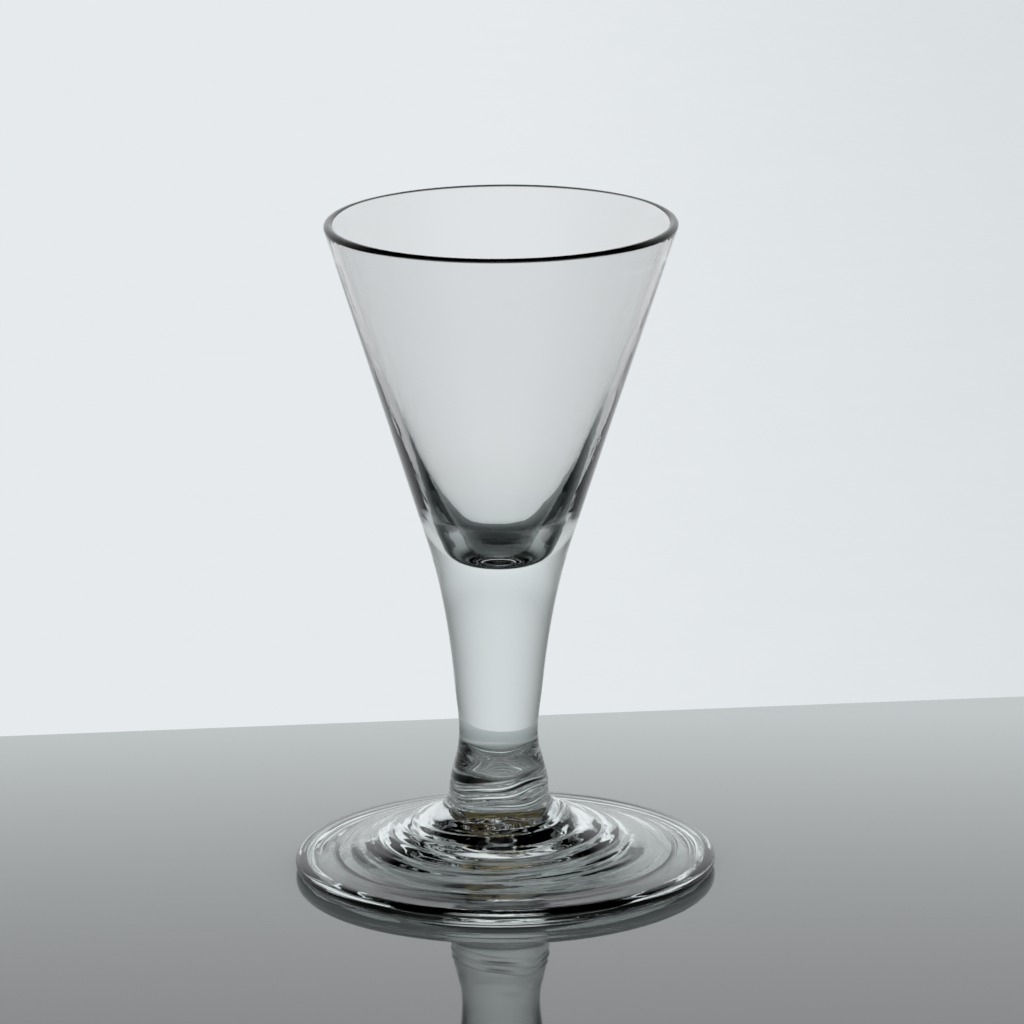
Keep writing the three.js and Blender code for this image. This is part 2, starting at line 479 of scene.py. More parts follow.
@dataclass(frozen=True)
class WornGlass(Finish):
    """The same glass ground dull by two centuries of tables: it scatters what it bends.

    Real scratches are hair-fine, too fine to show, so their grain is drawn coarser.
    """

    name: str = "flint_glass_worn"
    colour: str = "#EBF1EE"
    least_dull: float = 0.3
    dullest: float = 0.5
    scratch_length: float = 2.0
    scratch_depth: float = 0.01
    grain_from: float = 0.3
    grain_to: float = 0.7

    def surface(self, tree: bpy.types.NodeTree) -> bpy.types.Node:
        """Adds dull glass with a fine uneven grain.

        Args:
            tree: The node tree.

        Returns:
            The shader.
        """
        place = add(tree, "ShaderNodeTexCoord").outputs["Object"]
        fine = {"Scale": 1 / self.scratch_length / MM, "Detail": 6.0, "Roughness": 0.7}
        grain = add(tree, "ShaderNodeTexNoise", {"Vector": place, **fine})
        rough = add(
            tree,
            "ShaderNodeMapRange",
            {
                "Value": grain,
                "From Min": self.grain_from,
                "From Max": self.grain_to,
                "To Min": self.least_dull,
                "To Max": self.dullest,
            },
        )
        bump = add(tree, "ShaderNodeBump", {"Height": grain, "Distance": self.scratch_depth * MM})
        return add(
            tree,
            "ShaderNodeBsdfPrincipled",
            {
                "Base Color": linear(self.colour),
                "Roughness": rough,
                "IOR": FLINT_INDEX,
                "Transmission Weight": 1.0,
                "Normal": bump,
            },
        )


@dataclass(frozen=True)
class BrokenGlass(Finish):
    """The same glass snapped cold: bright shell-shaped flakes, with iron scale left in some.

    The scale gives the golden brown that shows through the middle of the foot.
    """

    name: str = "flint_glass_broken"
    colour: str = "#E6ECE8"
    scale_colour: str = "#8A6A2C"
    roughness: float = 0.04
    scale_patch: float = 5.0
    scale_from: float = 0.33
    scale_to: float = 0.45
    scale_side: float = 0.03
    flake_width: float = 6.0
    flake_depth: float = 0.5

    def surface(self, tree: bpy.types.NodeTree) -> bpy.types.Node:
        """Adds flaked glass with patches of scale, more of them on the left.

        Args:
            tree: The node tree.

        Returns:
            The shader.
        """
        place = add(tree, "ShaderNodeTexCoord").outputs["Object"]
        coarse = {"Scale": 1 / self.scale_patch / MM, "Detail": 5.0, "Roughness": 0.65}
        patches = add(tree, "ShaderNodeTexNoise", {"Vector": place, **coarse})
        across = add(tree, "ShaderNodeSeparateXYZ", {0: place}).outputs["X"]
        leaning = add(
            tree,
            "ShaderNodeMath",
            {0: across, 1: -self.scale_side / MM, 2: patches},
            operation="MULTIPLY_ADD",
        )
        scale = add(
            tree,
            "ShaderNodeMapRange",
            {"Value": leaning, "From Min": self.scale_from, "From Max": self.scale_to},
            interpolation_type="SMOOTHSTEP",
        )
        colours = {6: linear(self.colour), 7: linear(self.scale_colour)}
        colour = add(tree, "ShaderNodeMix", {0: scale, **colours}, data_type="RGBA").outputs[2]
        flakes = add(
            tree, "ShaderNodeTexVoronoi", {"Vector": place, "Scale": 1 / self.flake_width / MM}
        ).outputs["Distance"]
        bump = add(tree, "ShaderNodeBump", {"Height": flakes, "Distance": self.flake_depth * MM})
        return add(
            tree,
            "ShaderNodeBsdfPrincipled",
            {
                "Base Color": colour,
                "Roughness": self.roughness,
                "IOR": FLINT_INDEX,
                "Transmission Weight": 1.0,
                "Normal": bump,
            },
        )


@dataclass(frozen=True)
class FusedSeam(Finish):
    """The face where two gathers ran together hot: nothing is left to see there."""

    name: str = "fused_seam"

    def surface(self, tree: bpy.types.NodeTree) -> bpy.types.Node:
        """Adds a face that lets all light straight through, and returns its shader."""
        return add(tree, "ShaderNodeBsdfTransparent", {"Color": linear("#FFFFFF")})


# The pieces of the glass


@dataclass
class Piece:
    """What the four pieces share: how they are turned, dressed and fitted."""

    name: ClassVar[str]
    node: ClassVar[str]
    slot: ClassVar[Slot]

    hand: HandWork
    segments: int = 192
    # Where the pieces meet
    joint: Station = Station(6.15, 19.0, -0.12)
    scar_radius: float = 5.6
    hollow_height: float = 5.4
    foot_radius: float = 31.75
    edge_thickness: float = 2.6
    fold_width: float = 6.35
    air_radius: float = 29.55
    air_width: float = 0.9

    @property
    def plane(self) -> float:
        """Height of the face between the foot and its fold."""
        return self.edge_thickness / 2

    @property
    def fold_radius(self) -> float:
        """Inner radius of the fold."""
        return self.foot_radius - self.fold_width

    def runs(self) -> list[Run]:
        """Lays out the profile; each piece has its own."""
        raise NotImplementedError

    def fit(self, piece: bpy.types.Object, node: str) -> None:
        """Puts a piece in the place of its node and lets it ride.

        Args:
            piece: The piece.
            node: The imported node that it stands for.
        """
        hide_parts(node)
        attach(piece, "root")
        LOG.info("%s: %d faces", piece.name, len(piece.data.polygons))

    def make(self, finishes: list[bpy.types.Material]) -> None:
        """Builds, dresses and fits the piece.

        Args:
            finishes: The materials of its faces, in the order of the face kinds.
        """
        piece = Turning(self.name, self.runs(), self.segments, self.hand).build()
        for finish in finishes:
            piece.data.materials.append(finish)
        self.fit(piece, self.node)


@dataclass
class BowlAndStem(Piece):
    """One drawn gather: the conical bowl, its thick root and the solid stem."""

    name: ClassVar[str] = "drawn_bowl_and_stem"
    node: ClassVar[str] = "bowl_and_stem"
    slot: ClassVar[Slot] = Slot.BOWL

    height: float = 100.0
    rim_radius: float = 26.3
    root_height: float = 52.0
    root_radius: float = 11.1
    lip_thickness: float = 1.35
    well_height: float = 48.5
    well_edge_rise: float = 5.0
    well_edge_wall: float = 4.4
    wall_thinning: float = 13.0
    well_side: float = 0.6
    well_floor: float = 0.65
    waist: Station = Station(5.95, 21.5, 0.0)
    swell: Station = Station(6.65, 29.0, 0.09)
    wall_waves: float = 0.035
    outer_pitch: float = 18.0
    inner_pitch: float = 14.0
    outer_share: float = 0.6

    @property
    def lip_centre(self) -> float:
        """Height of the middle of the round lip."""
        return self.height - self.lip_thickness / 2

    @property
    def flare(self) -> float:
        """Growth of the bowl's outside radius with height."""
        return (self.rim_radius - self.root_radius) / (self.lip_centre - self.root_height)

    def outside(self, height: Array) -> Array:
        """Gives the radius of the bowl's straight outside at a height."""
        return self.root_radius + self.flare * (height - self.root_height)

    def inside(self, height: Array) -> Array:
        """Gives the radius of the hollow, whose wall thins as it climbs.

        Args:
            height: Height above the table.

        Returns:
            The radius there.
        """
        at_lip = self.lip_thickness / math.cos(math.atan(self.flare))
        edge = self.well_height + self.well_edge_rise
        fade = np.exp((edge - height) / self.wall_thinning)
        fade_at_lip = math.exp((edge - self.lip_centre) / self.wall_thinning)
        wall = at_lip + (self.well_edge_wall - at_lip) * (fade - fade_at_lip) / (1 - fade_at_lip)
        return self.outside(height) - wall

    def runs(self) -> list[Run]:
        """Lays out the profile, from the joint up the outside and down the hollow.

        Returns:
            The runs in order.
        """
        round_lip = self.lip_thickness / 2
        slope = math.atan(self.flare)
        root = Station(self.root_radius, self.root_height, self.flare)
        centre = (self.rim_radius - round_lip / math.cos(slope), self.lip_centre)
        lip = arc(centre, round_lip, -slope, math.pi - slope, 20)
        outer = np.concatenate(
            [
                flow(self.joint, self.waist, 10),
                flow(self.waist, self.swell, 24)[1:],
                flow(self.swell, root, 60)[1:],
                line((self.root_radius, self.root_height), tuple(lip[0]), 90)[1:-1],
            ]
        )
        edge = self.well_height + self.well_edge_rise
        levels = np.linspace(self.lip_centre - round_lip, edge, 110)
        hollow = np.stack([self.inside(levels), levels], 1)
        reach = hollow[-1, 0]
        lean = (hollow[-2, 0] - reach) / (hollow[-2, 1] - edge)
        drop = self.well_edge_rise * self.well_side
        well = bezier(
            [
                (reach, edge),
                (reach - lean * drop, edge - drop),
                (reach * self.well_floor, self.well_height),
                (0.0, self.well_height),
            ],
            40,
        )
        body = np.concatenate([outer, lip, hollow[1:], well[1:]])
        seam = line((0.0, self.joint.height), (self.joint.radius, self.joint.height), 12)
        return [Run(seam, Face.FUSED), Run(body, Face.OPEN, self._relief)]

    def _relief(self, at: Patch) -> tuple[Array, Array]:
        """Gives the faint unevenness of a blown wall, none at the joint or in the well's middle.

        Args:
            at: Where the points lie.

        Returns:
            How far to move outwards and upwards.
        """
        hold = smooth(at.share, 0, 0.04) * smooth(1 - at.share, 0, 0.03)
        outer = ripple(at.angle, at.height, 7, self.outer_pitch, Seed.OUTER_WALL)
        inner = ripple(at.angle, at.height, 7, self.inner_pitch, Seed.INNER_WALL)
        out = self.wall_waves * hold * np.where(at.share < self.outer_share, outer, inner)
        return out, 0 * out


@dataclass
class Foot(Piece):
    """The second gather: a tool-ringed boss round the stem and the spread foot."""

    name: ClassVar[str] = "spread_foot"
    node: ClassVar[str] = "foot"
    slot: ClassVar[Slot] = Slot.FOOT

    shoulder: Station = Station(6.92, 15.6, -0.29)
    boss: Station = Station(7.5, 12.6, -0.05)
    boss_lead: Point = (0.1, 2.2)
    boss_start: float = 0.6
    boss_full: float = 0.5
    instep_radius: float = 11.0
    instep_height: float = 8.5
    instep_lead: Point = (1.8, 0.8)
    top_instep_drop: float = 2.7
    bead_radius: float = 29.0
    bead_height: float = 2.75
    bead_slope: float = 0.05
    bead_round: float = 1.25
    bead_pull: float = 0.55
    fold_step: float = 0.6
    under_lead: float = 6.0
    under_scar_drop: float = 1.1
    under_edge_rise: float = 1.1
    # The spiral ridges that spreading left, strongest round the instep
    ridge_height: float = 0.15
    ridge_pitch: float = 2.6
    ridge_start: float = 8.0
    ridge_wander: float = 0.9
    ridge_wander_pitch: float = 9.0
    ridge_break_pitch: float = 5.0
    ridge_overtone: float = 0.4
    ridge_overtone_pace: float = 2.3
    ridge_strongest: float = 9.0
    ridge_fade: float = 6.0
    ridge_rest: float = 0.17
    # The leaning tool marks on the front of the boss
    mark_low: float = 11.8
    mark_high: float = 15.4
    mark_blend: float = 0.5
    mark_pitch: float = 1.3
    mark_lean: float = 0.12
    mark_wander: float = 1.2
    mark_wander_pitch: float = 4.0
    mark_depth: float = 0.2
    mark_least: float = 0.4
    mark_overtone: float = 0.35
    # How far round to the front the marks start and are full, where 1 is straight in front
    mark_side: float = -0.3
    mark_front: float = 0.5
    # The slow waves of the hot glass
    foot_waves: float = 0.12
    foot_wave_pitch: float = 10.0
    boss_waves: float = 0.2
    boss_wave_pitch: float = 7.0
    under_ridges: float = 0.03
    under_ridge_pitch: float = 3.4
    under_wander: float = 1.2
    under_wander_pitch: float = 8.0
    under_waves: float = 0.05
    under_wave_pitch: float = 6.0
    # The curl of glass on the right of the instep
    curl_angle: float = -0.25
    curl_spread: float = 0.5
    curl_radius: float = 10.2
    curl_width: float = 0.8
    curl_height: float = 1.4
    curl_lean: float = 0.8

    def runs(self) -> list[Run]:
        """Lays out the profile, from the middle of the underside out and over.

        Returns:
            The runs in order.
        """
        plane, inner, outer = self.plane, self.fold_radius, self.foot_radius
        scar, hollow, joint = self.scar_radius, self.hollow_height, self.joint
        under = bezier(
            [
                (scar, hollow),
                (scar + self.under_lead, hollow - self.under_scar_drop),
                (inner - self.under_lead, plane + self.under_edge_rise),
                (inner - self.fold_step, plane),
            ],
            90,
        )
        air_inner = self.air_radius - self.air_width / 2
        air_outer = self.air_radius + self.air_width / 2
        return [
            Run(line((0.0, hollow), (scar, hollow), 10), Face.FUSED),
            Run(under, Face.OPEN, self._under_relief),
            Run(line((inner - self.fold_step, plane), (inner, plane), 1)),
            Run(line((inner, plane), (air_inner, plane), 8), Face.FUSED),
            Run(line((air_inner, plane), (air_outer, plane), 4)),
            Run(line((air_outer, plane), (outer, plane), 4), Face.FUSED),
            Run(self._top(), Face.OPEN, self._top_relief),
            Run(line((joint.radius, joint.height), (0.0, joint.height), 12), Face.FUSED),
        ]

    def _top(self) -> Array:
        """Lays out the upper face, from the edge over the bead and the instep up the boss.

        Returns:
            The points.
        """
        bead = (self.bead_radius, self.bead_height)
        instep = (self.instep_radius, self.instep_height)
        pull = (self.foot_radius - self.bead_radius) * self.bead_pull
        third = (self.bead_radius - self.instep_radius) / 3
        lead_in, lead_up = self.instep_lead
        boss_out, boss_down = self.boss_lead
        edge = bezier(
            [
                (self.foot_radius, self.plane),
                (self.foot_radius, self.plane + self.bead_round),
                (bead[0] + pull, bead[1] - self.bead_slope * pull),
                bead,
            ],
            60,
        )
        spread = bezier(
            [
                bead,
                (bead[0] - third, bead[1] + self.bead_slope * third),
                (instep[0] + third, instep[1] - self.top_instep_drop),
                instep,
            ],
            130,
        )
        rise = bezier(
            [
                instep,
                (instep[0] - lead_in, instep[1] + lead_up),
                (self.boss.radius + boss_out, self.boss.height - boss_down),
                (self.boss.radius, self.boss.height),
            ],
            50,
        )
        shoulder = flow(self.boss, self.shoulder, 60)
        neck = flow(self.shoulder, self.joint, 40)
        return np.concatenate([edge, spread[1:], rise[1:], shoulder[1:], neck[1:]])

    def _top_relief(self, at: Patch) -> tuple[Array, Array]:
        """Gives the marks of the tools on the boss, and the ridges and curl on the spread foot.

        Args:
            at: Where the points lie.

        Returns:
            How far to move outwards and upwards.
        """
        hold = smooth(at.share, 0.02, 0.12) * smooth(1 - at.share, 0, 0.03)
        foot_end = self.instep_height + self.boss_start
        on_boss = smooth(at.height, foot_end, self.boss.height - self.boss_full)
        angle, radius = at.angle, at.radius
        strength = ripple(angle, radius, 6, self.ridge_break_pitch, Seed.RIDGE_STRENGTH)
        strength = 0.5 + 0.5 * np.clip(strength, -1, 1)
        wander = ripple(angle, radius, 5, self.ridge_wander_pitch, Seed.RIDGE_WANDER)
        wander = self.ridge_wander * wander
        spiral = TURN * (radius - self.ridge_start) / self.ridge_pitch + angle + wander
        fade = np.exp(-(radius - self.ridge_strongest) / self.ridge_fade) + self.ridge_rest
        overtone = self.ridge_overtone * np.sin(self.ridge_overtone_pace * spiral)
        ridges = self.ridge_height * fade * strength * (np.sin(spiral) + overtone)
        waves = self.foot_waves * ripple(angle, radius, 6, self.foot_wave_pitch, Seed.FOOT_WAVES)
        up = hold * (1 - on_boss) * (ridges + waves) + self._curl(at) * (1 - on_boss)
        uneven = ripple(angle, at.height, 6, self.boss_wave_pitch, Seed.BOSS_WAVES)
        marks = self._marks(at) * (self.mark_least + strength)
        out = marks + hold * on_boss * self.boss_waves * uneven
        return out, up

    def _marks(self, at: Patch) -> Array:
        """Gives the leaning marks of the tool on the front of the boss.

        Args:
            at: Where the points lie.

        Returns:
            How far to move outwards.
        """
        level = at.height - self.mark_lean * at.radius * np.cos(at.angle)
        above = smooth(level, self.mark_low, self.mark_low + self.mark_blend)
        below = smooth(-level, -self.mark_high, self.mark_blend - self.mark_high)
        in_front = smooth(-np.sin(at.angle), self.mark_side, self.mark_front)
        wander = ripple(at.angle, at.height, 4, self.mark_wander_pitch, Seed.BOSS_MARKS)
        turn = TURN * level / self.mark_pitch + self.mark_wander * wander
        grooves = np.sin(turn) - self.mark_overtone * np.cos(2 * turn)
        return above * below * in_front * self.mark_depth * grooves

    def _curl(self, at: Patch) -> Array:
        """Gives the curl of glass that the tool left, which crosses the instep at a slant.

        Args:
            at: Where the points lie.

        Returns:
            How far to move upwards.
        """
        turned = np.angle(np.exp(1j * (at.angle - self.curl_angle))) / self.curl_spread
        apart = (at.radius - self.curl_radius + self.curl_lean * turned) / self.curl_width
        return self.curl_height * np.exp(-(turned**2) - apart**2)

    def _under_relief(self, at: Patch) -> tuple[Array, Array]:
        """Gives the slower waves of the foot's underside.

        Args:
            at: Where the points lie.

        Returns:
            How far to move outwards and upwards.
        """
        hold = smooth(at.share, 0, 0.1) * smooth(1 - at.share, 0, 0.1)
        angle, radius = at.angle, at.radius
        wander = ripple(angle, radius, 5, self.under_wander_pitch, Seed.UNDER_WANDER)
        spiral = TURN * radius / self.under_ridge_pitch - angle + self.under_wander * wander
        waves = ripple(angle, radius, 7, self.under_wave_pitch, Seed.UNDER_WAVES)
        up = hold * (self.under_ridges * np.sin(spiral) + self.under_waves * waves)
        return 0 * up, up


@dataclass
class FootFold(Piece):
    """The foot's edge turned under, with its line of trapped air."""

    name: ClassVar[str] = "folded_edge"
    node: ClassVar[str] = "foot_fold"
    slot: ClassVar[Slot] = Slot.FOLD

    wear_radius: float = 30.3
    wear_width: float = 1.0
    air_depth: float = 0.28
    air_corner: float = 0.6
    air_pull: float = 1.3
    edge_out: float = 0.6
    edge_up: float = 0.45
    lip_bulge: float = 0.25
    lip_drop: float = 0.6
    under_reach: float = 2.0
    under_rise: float = 0.9

    def runs(self) -> list[Run]:
        """Lays out the closed profile, from the fold's inner lip out and over.

        Returns:
            The runs in order.
        """
        plane, inner, outer = self.plane, self.fold_radius, self.foot_radius
        wear_outer, wear_inner = self.wear_radius, self.wear_radius - self.wear_width
        under = bezier(
            [
                (inner, plane),
                (inner - self.lip_bulge, plane - self.lip_drop),
                (inner + self.under_reach, self.under_rise),
                (wear_inner, 0.0),
            ],
            40,
        )
        edge = bezier(
            [
                (wear_outer, 0.0),
                (wear_outer + (outer - wear_outer) * self.edge_out, 0.0),
                (outer, plane * self.edge_up),
                (outer, plane),
            ],
            20,
        )
        middle, half = self.air_radius, self.air_width / 2
        corner, deep = half * self.air_corner, plane - self.air_depth * self.air_pull
        groove = bezier(
            [
                (middle + half, plane),
                (middle + corner, deep),
                (middle - corner, deep),
                (middle - half, plane),
            ],
            8,
        )
        return [
            Run(under),
            Run(line((wear_inner, 0.0), (wear_outer, 0.0), 4), Face.WORN),
            Run(edge),
            Run(line((outer, plane), (middle + half, plane), 4), Face.FUSED),
            Run(groove),
            Run(line((middle - half, plane), (inner, plane), 8), Face.FUSED),
        ]


@dataclass
class PontilScar(Piece):
    """The rough wad under the foot where the iron was snapped away."""

    name: ClassVar[str] = "pontil_scar_wad"
    node: ClassVar[str] = "pontil_scar"
    slot: ClassVar[Slot] = Slot.SCAR

    segments: int = 96
    drop: float = 2.1
    centre_rise: float = 0.5
    face_share: float = 0.6
    face_rise: float = 0.1
    round_low: Point = (0.85, 0.0)
    round_high: Point = (0.95, 0.6)
    chip_depth: float = 0.9
    chip_width: float = 4.0
    chip_level: float = 0.5
    fine_chips: float = 0.5
    edge_chips: float = 0.3
    edge_chip_pitch: float = 6.0

    def runs(self) -> list[Run]:
        """Lays out the profile, from the middle of the broken face out and up.

        Returns:
            The runs in order.
        """
        radius, high = self.scar_radius, self.hollow_height
        low = high - self.drop
        shallow = (radius * self.face_share, low + self.face_rise)
        turns = [(radius * share, low + up) for share, up in (self.round_low, self.round_high)]
        round_over = bezier([shallow, *turns, (radius, high)], 20)
        face = np.concatenate([line((0.0, low + self.centre_rise), shallow, 16), round_over[1:]])
        back = line((radius, high), (0.0, high), 10)
        return [Run(face, Face.OPEN, self._relief), Run(back, Face.FUSED)]

    def _relief(self, at: Patch) -> tuple[Array, Array]:
        """Gives the broken face its chips, none where it meets the foot.

        Args:
            at: Where the points lie.

        Returns:
            How far to move outwards and upwards.
        """
        angle, radius, width = at.angle, at.radius, self.chip_width
        hold = smooth(1 - at.share, 0, 0.25)
        flakes = np.abs(ripple(angle, radius, 9, width, Seed.SCAR_FLAKES)) - self.chip_level
        fine = np.abs(ripple(3 * angle, radius, 6, width / 2, Seed.SCAR_FINE_FLAKES))
        chips = flakes + self.fine_chips * fine
        up = self.chip_depth * hold * smooth(at.share, 0, 0.3) * chips
        edge = ripple(angle, radius, 5, self.edge_chip_pitch, Seed.SCAR_EDGE)
        out = self.edge_chips * hold * smooth(at.share, 0.4, 0.8) * edge
        return out, up


# The studio


@dataclass(frozen=True)
class PhotographView:
    """The camera, fitted to the photograph by the rim's and the foot's ovals."""

    distance: float = 1086.6
    height: float = 339.75
    focal_pixels: float = 7502.5
    frame_pixels: float = 1024.0
    pitch: float = 14.666
    yaw: float = 0.079
    roll: float = -0.53
    sensor: float = 36.0
    nearest: float = 50.0
    farthest: float = 50000.0

    def make(self) -> None:
        """Makes the scene's camera."""
        data = bpy.data.cameras.new("photograph_view")
        data.sensor_width = self.sensor
        data.lens = self.focal_pixels * self.sensor / self.frame_pixels
        data.clip_start = self.nearest * MM
        data.clip_end = self.farthest * MM
        camera = bpy.data.objects.new("photograph_view", data)
        turn = Matrix.Rotation(math.radians(-self.yaw), 4, "Z")
        tip = Matrix.Rotation(math.radians(90 - self.pitch), 4, "X")
        roll = Matrix.Rotation(math.radians(self.roll), 4, "Z")
        place = Matrix.Translation(Vector((0, -self.distance, self.height)) * MM)
        camera.matrix_world = place @ turn @ tip @ roll
        bpy.context.scene.collection.objects.link(camera)
        bpy.context.scene.camera = camera


def mirrored_or_bent(tree: bpy.types.NodeTree) -> bpy.types.Node:
    """Tells rays that a surface has mirrored or bent from all others.

    Args:
        tree: The node tree.

    Returns:
        A node that gives 1 for a mirrored or bent ray.
    """
    rays = add(tree, "ShaderNodeLightPath").outputs
    either = {0: rays["Is Glossy Ray"], 1: rays["Is Transmission Ray"]}
    return add(tree, "ShaderNodeMath", either, operation="MAXIMUM")


@dataclass(frozen=True)
class RoomLight:
    """The room: a glow low behind the glass, dim at the sides and front, and dark overhead.

    Heights and depths are those of a direction of length 1, with 1 straight up or straight
    behind the glass and -1 straight in front of it.
    """

    glow: str = "#FBFDFF"
    overhead: str = "#060606"
    # Share of the glow at the horizon, and the height by which it is whole
    low: float = 0.83
    rise: float = 0.10
    # Height at which it starts to darken, and how much higher it is dark
    top: float = 0.46
    blur: float = 0.22
    # Share of the glow at the sides and straight in front, and the depths between them
    side: float = 0.05
    side_fall: float = 1.6
    front: float = 0.4
    front_from: float = -0.3
    front_to: float = -1.0

    def share(self, tree: bpy.types.NodeTree, place: bpy.types.NodeSocket) -> bpy.types.Node:
        """Gives the glow's fall from straight behind the glass, round the sides, to the front.

        Args:
            tree: The node tree.
            place: Direction or position round the glass.

        Returns:
            A node that gives the share of the glow.
        """
        level = add(tree, "ShaderNodeVectorMath", {0: place, 1: (1, 1, 0)}, operation="MULTIPLY")
        unit = add(tree, "ShaderNodeVectorMath", {0: level}, operation="NORMALIZE")
        back = add(tree, "ShaderNodeSeparateXYZ", {0: unit}).outputs["Y"]
        behind = add(tree, "ShaderNodeMapRange", {"Value": back})
        fall = add(tree, "ShaderNodeMath", {0: behind, 1: self.side_fall}, operation="POWER")
        front = add(
            tree,
            "ShaderNodeMapRange",
            {
                "Value": back,
                "From Min": self.front_from,
                "From Max": self.front_to,
                "To Min": self.side,
                "To Max": self.front,
            },
            interpolation_type="SMOOTHSTEP",
        )
        return add(tree, "ShaderNodeMath", {0: fall, 1: front}, operation="MAXIMUM")

    def shine(self, backdrop: str) -> None:
        """Makes the world: a plain backdrop to the eye, and the room to mirrored and bent rays.

        Args:
            backdrop: The colour that the eye sees.
        """
        world = bpy.data.worlds.new("room")
        bpy.context.scene.world = world
        world.use_nodes = True
        tree = world.node_tree
        tree.nodes.clear()
        direction = add(tree, "ShaderNodeTexCoord").outputs["Generated"]
        height = add(tree, "ShaderNodeSeparateXYZ", {0: direction}).outputs["Z"]
        rise = add(
            tree,
            "ShaderNodeMapRange",
            {"Value": height, "From Max": self.rise, "To Min": self.low, "To Max": 1.0},
        )
        around = self.share(tree, direction)
        bright = add(tree, "ShaderNodeMath", {0: around, 1: rise}, operation="MULTIPLY")
        high = add(
            tree,
            "ShaderNodeMapRange",
            {"Value": height, "From Min": self.top, "From Max": self.top + self.blur},
            interpolation_type="SMOOTHSTEP",
        )
        colours = {6: linear("#000000"), 7: linear(self.glow)}
        lit = add(tree, "ShaderNodeMix", {0: bright, **colours}, data_type="RGBA").outputs[2]
        colours = {6: lit, 7: linear(self.overhead)}
        tone = add(tree, "ShaderNodeMix", {0: high, **colours}, data_type="RGBA").outputs[2]
        seen = add(tree, "ShaderNodeBackground", {"Color": linear(backdrop), "Strength": 1.0})
        room = add(tree, "ShaderNodeBackground", {"Color": tone, "Strength": 1.0})
        mix = add(tree, "ShaderNodeMixShader", {0: mirrored_or_bent(tree), 1: seen, 2: room})
        add(tree, "ShaderNodeOutputWorld", {"Surface": mix})


@dataclass(frozen=True)
class LacqueredBoard(Finish):
    """Dark board under clear lacquer, smooth enough to mirror the backdrop.

    Its base colour is paler towards the back edge, and again nearer than the camera's frame
    reaches: a painted reflection of the backdrop's glow, as a sheen at a low angle. A ray that
    comes down on it steeply, as through the foot, meets it dark.
    """

    name: str = "lacquered_board"
    dark: str = "#1C2021"
    # Painted sheen: the tone of the backdrop's reflection, laid into the base colour
    painted_sheen: str = "#B8BDBC"
    index: float = 1.86
    roughness: float = 0.035
    sheen_back_from: float = -120.0
    sheen_back_to: float = 80.0
    sheen_back_fall: float = 2.0
    sheen_near_from: float = -85.0
    sheen_near_to: float = -150.0
    steep_facing: float = 0.3
    low_facing: float = 0.6

    def surface(self, tree: bpy.types.NodeTree) -> bpy.types.Node:
        """Adds lacquer over a dark board, with a painted sheen laid into its base colour.

        Args:
            tree: The node tree.

        Returns:
            The shader.
        """
        place = add(tree, "ShaderNodeTexCoord").outputs["Object"]
        depth = add(tree, "ShaderNodeSeparateXYZ", {0: place}).outputs["Y"]
        # Painted reflection of the backdrop's glow: paler towards the back edge and again near the
        # front
        back = add(
            tree,
            "ShaderNodeMapRange",
            {"Value": depth, "From Min": self.sheen_back_from * MM, "From Max": self.sheen_back_to * MM},
        )
        behind = add(tree, "ShaderNodeMath", {0: back, 1: self.sheen_back_fall}, operation="POWER")
        near = add(
            tree,
            "ShaderNodeMapRange",
            {"Value": depth, "From Min": self.sheen_near_from * MM, "From Max": self.sheen_near_to * MM},
            interpolation_type="SMOOTHSTEP",
        )
        either = add(tree, "ShaderNodeMath", {0: behind, 1: near}, operation="MAXIMUM")
        # The painted sheen shows only at a low angle; a steep ray meets the board's own dark tone
        sheen_by_angle = add(
            tree,
            "ShaderNodeMapRange",
            {
                "Value": add(tree, "ShaderNodeLayerWeight", {"Blend": 0.5}).outputs["Facing"],
                "From Min": self.steep_facing,
                "From Max": self.low_facing,
            },
            interpolation_type="SMOOTHSTEP",
        )
        share = add(tree, "ShaderNodeMath", {0: either, 1: sheen_by_angle}, operation="MULTIPLY")
        colours = {6: linear(self.dark), 7: linear(self.painted_sheen)}
        tone = add(tree, "ShaderNodeMix", {0: share, **colours}, data_type="RGBA").outputs[2]
        return add(
            tree,
            "ShaderNodeBsdfPrincipled",
            {"Base Color": tone, "Roughness": self.roughness, "IOR": self.index},
        )


